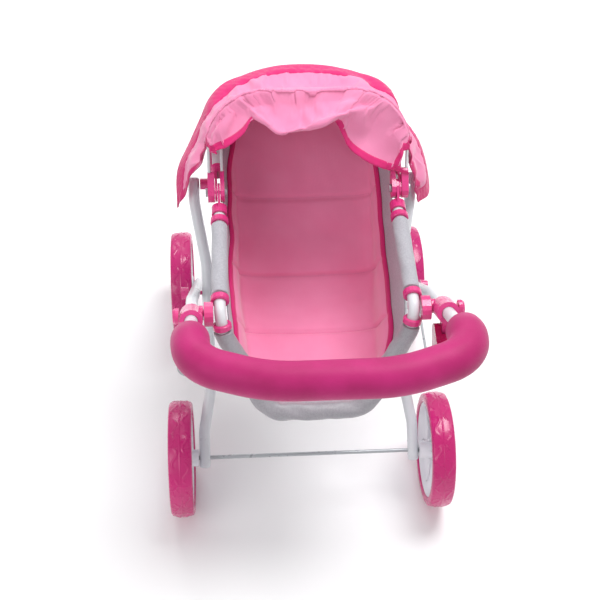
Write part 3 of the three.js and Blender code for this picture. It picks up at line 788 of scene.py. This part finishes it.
# ---------------------------------------------------------------- hood

# Rows of the hood, from its loose front edge to its rear hem, each with as many points from left to right.
# A point is (x, y, z), with y and z from the hub; a HALF runs from the right side to the centre line.
HOOD_EDGE = [(-107, 6, 54), (-106, 7, 60), (-92, 8, 66), (-74, 14, 78), (-62, 26, 89), (-38, 22, 82),
             (-10, 18, 84), (12, 20, 88), (32, 26, 86), (43, 12, 60), (62, 4, 44), (86, 2, 31),
             (104, 3, 24)]
HOOD_FOLD = [(-114, 15, 54), (-112, 18, 68), (-99, 28, 85), (-77, 41, 96), (-55, 22, 94), (-34, 4, 88),
             (-12, 2, 93), (10, 4, 100), (33, 12, 103), (57, 24, 98), (82, 38, 91), (104, 26, 70),
             (110, 15, 46)]
BOW_A_HALF = [(118, 26, 56), (114, 32, 69), (99, 42, 91), (76, 48.5, 105), (50, 51, 109.5), (25, 51, 109),
              (0, 51, 109)]
BOW_B_HALF = [(121, 40, 30), (116, 50, 40), (104, 64, 54), (86, 78, 66), (58, 87, 74.5), (29, 87.5, 75.5),
              (0, 87.5, 75.5)]
HEM = [(-158, 68, -88), (-156, 88, -46), (-140, 108, -17), (-115, 133, 22), (-84, 155, 41), (-40, 168, 50),
       (4, 173, 50), (46, 168, 48), (84, 156, 39), (122, 134, 2), (150, 108, -30), (162, 80, -80),
       (146, 60, -82)]
HOOD_COLUMN_STEPS = 11
HOOD_STEPS = (6, 10, 7, 7, 16)


def spread(line, steps):
    """Points on a smooth curve through line, with steps[i] of them from each point to the next."""
    line = np.asarray(line, float)
    ends = np.vstack([2 * line[0] - line[1], line, 2 * line[-1] - line[-2]])
    made = []
    for i, count in enumerate(steps):
        a, b, c, d = ends[i : i + 4]
        for t in np.arange(count) / count:
            made.append(0.5 * (2 * b + (c - a) * t + (2 * a - 5 * b + 4 * c - d) * t**2
                               + (3 * b - 3 * c + d - a) * t**3))
    made.append(line[-1])
    return np.array(made)


def hood_grid():
    """The hood before it drapes, and which of its rows lie on the front bow and the rear bow."""
    bow_a_row, bow_b_row = np.array(whole(BOW_A_HALF)), np.array(whole(BOW_B_HALF))
    sag = (bow_a_row + bow_b_row) / 2 - np.array([0, 0, 5.0])
    control = np.array([HOOD_EDGE, HOOD_FOLD, bow_a_row, sag, bow_b_row, HEM], float)
    control += np.array([0, HUB_Y, HUB_Z])
    across = [spread(row, [HOOD_COLUMN_STEPS] * (len(HEM) - 1)) for row in control]
    grid = np.array([spread(column, HOOD_STEPS) for column in np.array(across).transpose(1, 0, 2)])
    front = HOOD_STEPS[0] + HOOD_STEPS[1]
    return grid.transpose(1, 0, 2), front, front + HOOD_STEPS[2] + HOOD_STEPS[3]


def crumple(grid, held, height, seed):
    """Long soft folds across the cloth, fading to nothing on the rows that are held."""
    n = normals(grid)
    rows, columns = grid.shape[:2]
    out = grid.copy()
    for i in range(rows):
        fade = min(1.0, min(abs(i - h) for h in held) / 4.0)
        for j in range(columns):
            u, v = j / (columns - 1), i / (rows - 1)
            lean = 3.2 * v + 2.6 * abs(u - 0.5)
            fold = noise.noise(Vector((u * 5.0 + lean, v * 9.0 - u * 1.5, seed)))
            small = noise.noise(Vector((u * 15.0 - lean, v * 16.0, seed + 9)))
            out[i, j] += n[i, j] * height * fade * (1.5 * fold + 0.5 * small)
    return out


def nearest_on(line, points):
    """The point of line that is nearest to each of points."""
    return line[np.argmin(np.linalg.norm(points[:, None] - line[None], axis=2), axis=1)]


def outward(points, nearest, inner):
    """The way out from inner through nearest, and how far points rise that way and stand beside it."""
    out = nearest - inner
    out /= np.linalg.norm(out, axis=1, keepdims=True)
    away = points - nearest
    rise = np.sum(away * out, axis=1)
    return out, rise, np.linalg.norm(away - rise[:, None] * out, axis=1)


WIRE_REACH, WIRE_CLEAR = 7.0, 3.1
BOW_MIDDLE = 55


def over_wires(grid):
    """Lifts the cloth over the two bows, so that each wire shows as a soft ridge and stays covered."""
    flat = grid.reshape(-1, 3).copy()
    for bow in (FRONT_BOW, REAR_BOW):
        lean = math.radians(bow[2])
        middle = np.array([0, HUB_Y + BOW_MIDDLE * math.sin(lean), HUB_Z + BOW_MIDDLE * math.cos(lean)])
        nearest = nearest_on(bow_path(*bow, spacing=1.5), flat)
        out, rise, beside = outward(flat, nearest, middle)
        wanted = WIRE_CLEAR * np.sqrt(np.maximum(0, 1 - (beside / WIRE_REACH) ** 2))
        lift = np.where((beside < WIRE_REACH) & (rise > -12), np.maximum(0, wanted - rise), 0)
        flat += out * lift[:, None]
    return flat.reshape(grid.shape)


SADDLE_Y = 164
SADDLE_LENGTH = 12


def over_hoop(grid):
    """Carries the sides of the cloth over the backrest hoop and over the saddle of its bracket."""
    flat = grid.reshape(-1, 3).copy()
    tube = bend(mirrored(BACK_HALF), 4, 2.0)
    for _ in range(2):
        nearest = nearest_on(tube, flat)
        out, rise, beside = outward(flat, nearest, nearest * (0.55, 0.55, 1) + (0, 0.45 * 175, -45))
        saddle = np.clip(1.6 - np.abs(nearest[:, 1] - SADDLE_Y) / SADDLE_LENGTH, 0, 1)
        saddle = saddle * saddle * (3 - 2 * saddle)
        reach = 18 + 4 * saddle
        wanted = (10.6 + 5.5 * saddle) * np.sqrt(np.maximum(0, 1 - (beside / reach) ** 2))
        fade = np.clip((reach - beside) / 6, 0, 1)
        shift = out * (np.where(rise > -22, np.maximum(0, wanted - rise), 0) * fade)[:, None]
        shift = shift.reshape(grid.shape)
        for _ in range(3):
            wide = np.pad(shift, ((1, 1), (1, 1), (0, 0)), mode="edge")
            wide = (wide[:-2] + 2 * wide[1:-1] + wide[2:]) / 4
            shift = (wide[:, :-2] + 2 * wide[:, 1:-1] + wide[:, 2:]) / 4
        flat += shift.reshape(-1, 3)
    return flat.reshape(grid.shape)


hood, bow_a, bow_b = hood_grid()
last_row = hood.shape[0] - 1
hood = crumple(hood, (bow_a, bow_b, last_row), 4.2, 3.1)
pins = np.zeros(hood.shape[:2])
pins[bow_a] = pins[bow_b] = pins[last_row] = 1.0
pins[:, 0] = pins[:, -1] = 1.0
pins[-4:-1] = 0.6
pins[0] = np.maximum(pins[0], 0.3)
pins[HOOD_STEPS[0]] = np.maximum(pins[HOOD_STEPS[0]], 0.35)
hood = settle(hood, pins, 0.03, 8.0, stiff=2.5)
hood = over_hoop(over_wires(finer(over_hoop(over_wires(hood)))))
bow_a, bow_b, last_row = 2 * bow_a, 2 * bow_b, 2 * last_row
hood_normals = normals(hood)


def hood_piece(obj, nodes=()):
    """Bakes a hood piece's placement into its mesh and hides the frame's nodes it stands for."""
    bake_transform(obj)
    if nodes:
        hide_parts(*nodes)
    return obj


canopy = hood_piece(cloth("look_hood", hood, HOOD, 1.0), ["canopy"])
pocket = hood[bow_a - 5 : bow_a + 8] + 1.05 * hood_normals[bow_a - 5 : bow_a + 8]
trims = [
    cloth("look_hood_pocket", pocket, HOOD, 0.9),
    ribbon("look_hood_rear_binding", hood[::-1].transpose(1, 0, 2), 24.0, BINDING),
    ribbon("look_hood_front_binding", hood.transpose(1, 0, 2), 8.5, BINDING),
    ribbon("look_hood_left_binding", hood, 9.0, BINDING),
    ribbon("look_hood_right_binding", hood[:, ::-1], 9.0, BINDING),
]
for k, (row, raised) in enumerate(((bow_a - 4, 1.5), (bow_a + 6, 1.5), (bow_b - 5, 0.5), (bow_b + 5, 0.5))):
    line = hood[row] + (raised - STITCH_BASE) * hood_normals[row]
    trims.append(stitches(f"look_hood_stitches_{k}", line[4:-4], hood_normals[row, 4:-4]))
for trim in trims:
    hood_piece(trim)
cut_size(hood)


# ---------------------------------------------------------------- seat shell, pads and sleeves

# From foot to head: where the floor of the trough meets its right wall, and the rim of that wall.
FLOOR = [(58, -137, 258), (66, -112, 242), (74, -60, 234), (80, 0, 231), (84, 47, 233), (84, 90, 264),
         (84, 150, 322), (78, 200, 374), (70, 238, 415)]
RIM = [(60, -139, 262), (74, -116, 306), (95, -100, 341), (98.5, -66, 372), (98.5, 0, 374), (98.5, 49, 378),
       (99, 90, 392), (98, 150, 403), (90, 205, 413), (72, 240, 420)]
SHELL_ROWS, SHELL_COLUMNS = 89, 81


def shell_grid():
    """Cloth slung between the two rails and up to the backrest hoop: a trough with rounded corners."""
    floor = curve(FLOOR, SHELL_ROWS)
    rim = curve(RIM, SHELL_ROWS)
    rows = []
    for f, r in zip(floor, rim):
        depth = r[2] - f[2]
        wall = [f + (r - f) * t + np.array([6.0 * math.sin(math.pi * t), 0, 0]) for t in (0.3, 0.6, 0.85)]
        corner = f + (r - f) * 0.08 + np.array([min(4.0, depth * 0.05), 0, 0])
        inner = f + np.array([-14.0, 0, -min(2.0, depth * 0.05)])
        middle = np.array([f[0] * 0.45, f[1], f[2] - min(4.0, depth * 0.08)])
        centre = np.array([0.0, f[1], f[2] - min(5.0, depth * 0.1)])
        half = [r, wall[2], wall[1], wall[0], corner, inner, middle, centre]
        rows.append(curve(whole(half), SHELL_COLUMNS))
    return np.array(rows)


def rumple(grid):
    """The cloth with shallow folds that fade to nothing at its edges."""
    up = upward(grid)
    rows, columns = grid.shape[:2]
    out = grid.copy()
    for i in range(rows):
        for j in range(columns):
            u, v = abs(2 * j / (columns - 1) - 1), i / (rows - 1)
            fade = min(1.0, (1 - u) * 7) * min(1.0, v * 12) * min(1.0, (1 - v) * 12)
            fold = noise.noise(Vector((j * 0.06, v * 13.0 + u * 2.0, 4.4)))
            out[i, j] += up[i, j] * fade * (2.4 * fold - 0.9)
    return out


def seat_piece(obj, nodes):
    """Bakes a seat piece's placement into its mesh and hides the frame's nodes it stands for."""
    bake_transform(obj)
    if nodes:
        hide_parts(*nodes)
    return obj


shell = rumple(shell_grid())
fine_shell = finer(shell)
seat = seat_piece(cloth("look_seat", fine_shell, GREY, 1.2), ["seat_tub", "seat_back"])
cut_size(fine_shell)

PAD_SEAMS = (0.26, 0.47, 0.70)
PAD_ROWS, PAD_COLUMNS = 169, 61


def pad_faces():
    """The top and bottom of one long padded liner on the shell, crowned between its sewn channels.

    It runs from the footrest to the head of the backrest.
    """
    up = upward(shell)
    rows, columns = shell.shape[:2]
    first, last = 4, rows - 3
    top, bottom = [], []
    for b in np.linspace(first, last, PAD_ROWS):
        v = (b - first) / (last - first)
        i = min(int(b), rows - 2)
        t = b - i
        section = shell[i] * (1 - t) + shell[i + 1] * t
        n = up[i] * (1 - t) + up[i + 1] * t
        half = 0.315 + 0.045 * math.cos(math.pi * v) ** 2
        half *= 1 - 0.10 * max(0, (v - 0.93) / 0.07) ** 2 - 0.08 * max(0, (0.05 - v) / 0.05) ** 2
        line_top, line_bottom = [], []
        for a in np.linspace(-1, 1, PAD_COLUMNS):
            j = (0.5 + 0.5 * a * 2 * half) * (columns - 1)
            k = min(int(j), columns - 2)
            s = j - k
            p = section[k] * (1 - s) + section[k + 1] * s
            m = unit(n[k] * (1 - s) + n[k + 1] * s)
            edge = min(1.0, (1 - abs(a)) / 0.16, v / 0.035, (1 - v) / 0.035)
            crown = math.sqrt(max(0.0, 1 - (1 - edge) ** 2))
            channel = min(abs(v - c) for c in PAD_SEAMS)
            sewn = 1 - 0.55 * math.exp(-((channel / 0.006) ** 2))
            puff = 0.9 + 0.1 * math.cos(a * math.pi) + 0.16 * noise.noise(Vector((a * 2.6, v * 9, 1.7)))
            puff += 0.07 * noise.noise(Vector((a * 7.0 + v * 6.0, v * 26, 5.2)))
            line_bottom.append(p + m * 0.9)
            line_top.append(p + m * (2.6 + 7.6 * crown * sewn * puff))
        top.append(line_top)
        bottom.append(line_bottom)
    return np.array(top), np.array(bottom)


pad_top, pad_bottom = pad_faces()
nv, nu = pad_top.shape[:2]
verts = np.concatenate([pad_top.reshape(-1, 3), pad_bottom.reshape(-1, 3)])
base = nv * nu
faces = grid_faces(nv, nu)
faces += [tuple(base + k for k in reversed(f)) for f in grid_faces(nv, nu)]
rim_loop = list(range(nu)) + [i * nu + nu - 1 for i in range(1, nv)]
rim_loop += [(nv - 1) * nu + j for j in range(nu - 2, -1, -1)] + [i * nu for i in range(nv - 2, 0, -1)]
for a, b in zip(rim_loop, rim_loop[1:] + rim_loop[:1]):
    faces.append((b, a, base + a, base + b))
flat_uv = lengths(pad_top).reshape(-1, 2)
pad = add_mesh("look_pad", verts, faces, np.concatenate([flat_uv, flat_uv]))
pad.data.materials.append(PAD)
seat_piece(pad, ["seat_pad", "back_pad"])
mid = (pad_top + pad_bottom) / 2
for name, lines in (("left", mid), ("right", mid[:, ::-1]), ("foot", mid.transpose(1, 0, 2)),
                    ("head", mid[::-1].transpose(1, 0, 2))):
    seat_piece(ribbon(f"look_pad_binding_{name}", lines, 7.5, BINDING, 2.2), ())
pad_up = upward(pad_top)
for k, v in enumerate(PAD_SEAMS):
    row = round(v * (nv - 1))
    seam = stitches(f"look_pad_stitches_{k}", pad_top[row, 6:-6], pad_up[row, 6:-6])
    seat_piece(seam, ())


def sleeve_radius(base, depth, pitch, seed):
    """A smooth cloth tube with long slanting folds that come and go along it."""

    def radius(s, angle):
        """The tube's radii at s along it, one for each angle."""
        slant = s / pitch + seed
        fold = []
        for a in angle:
            across = (0.9 * math.cos(a - 0.6), 1.1 * math.sin(a - 0.6))
            fold.append(noise.noise(Vector((slant + across[0], across[1], 0.35 * slant))))
        fold = np.array(fold)
        return base + depth * np.where(fold > 0, 1.6 * fold, 0.9 * fold)

    return radius


# The foot sleeve covers the rail up to this y, and each side's sleeve covers it between these two.
FOOT_SLEEVE_END = -102.4
RAIL_SLEEVE_ENDS = (-70, 35)
RAIL_LINE = bend(mirrored(RAIL_HALF), 5, 2.2)
low = RAIL_LINE[RAIL_LINE[:, 1] < FOOT_SLEEVE_END]
foot = sweep("look_foot_sleeve", low, sleeve_radius(9.9, 1.25, 18.0, 0.4), 48, edge=1.0)
finish_piece(foot, SATIN, "seat_rail", ["footrest_sleeve"])
for name, side in SIDES.items():
    x, y = RAIL_LINE[:, 0], RAIL_LINE[:, 1]
    line = RAIL_LINE[(x * side > 0) & (y > RAIL_SLEEVE_ENDS[0]) & (y < RAIL_SLEEVE_ENDS[1])]
    line = line[np.argsort(line[:, 1])]
    folds = sleeve_radius(9.2, 0.7, 27.0, 1.1 + side)
    sleeve = sweep(f"look_rail_sleeve_{name}", line, folds, 36, edge=1.0)
    finish_piece(sleeve, SLEEVE, "seat_rail", [f"rail_sleeve_{name}"])

# ---------------------------------------------------------------- floor, light and camera


def build_stage():
    """A plain floor under an even white sky, with three soft lights."""
    bpy.ops.mesh.primitive_plane_add(size=14, location=(0, 0, -0.0004))
    floor = bpy.context.object
    floor.name = "floor"
    ground = Look("floor", "#f7f7f8", 0.65)
    ground.bump(ground.noise(400, 2), 0.05, 0.0002)
    floor.data.materials.append(ground.material)

    world = bpy.data.worlds.new("studio")
    bpy.context.scene.world = world
    world.use_nodes = True
    background = world.node_tree.nodes["Background"]
    background.inputs["Color"].default_value = (1.0, 1.0, 1.0, 1.0)
    background.inputs["Strength"].default_value = 0.62

    target = Vector((0, 0, 0.3))

    def area(name, location, size, power):
        """A round lamp at location, aimed at the target."""
        light = bpy.data.lights.new(name, "AREA")
        light.shape = "DISK"
        light.size = size
        light.energy = power
        obj = bpy.data.objects.new(name, light)
        bpy.context.scene.collection.objects.link(obj)
        obj.location = location
        obj.rotation_euler = (target - Vector(location)).to_track_quat("-Z", "Y").to_euler()

    area("key", (0.7, 0.5, 2.5), 1.3, 44)
    area("fill", (-1.6, -1.5, 1.8), 1.6, 14)
    area("back", (-0.4, 2.2, 1.9), 1.4, 14)


def build_camera():
    """The main view: from above the handle, a little to its left."""
    data = bpy.data.cameras.new("camera")
    data.sensor_width = 36
    data.lens = 71.62
    obj = bpy.data.objects.new("camera", data)
    bpy.context.scene.collection.objects.link(obj)
    obj.location = (-0.0938, -0.9491, 1.3550)
    obj.rotation_euler = [math.radians(a) for a in (41.532, -1.288, -3.488)]
    bpy.context.scene.camera = obj


build_stage()
build_camera()
bpy.context.scene.view_settings.view_transform = "Standard"
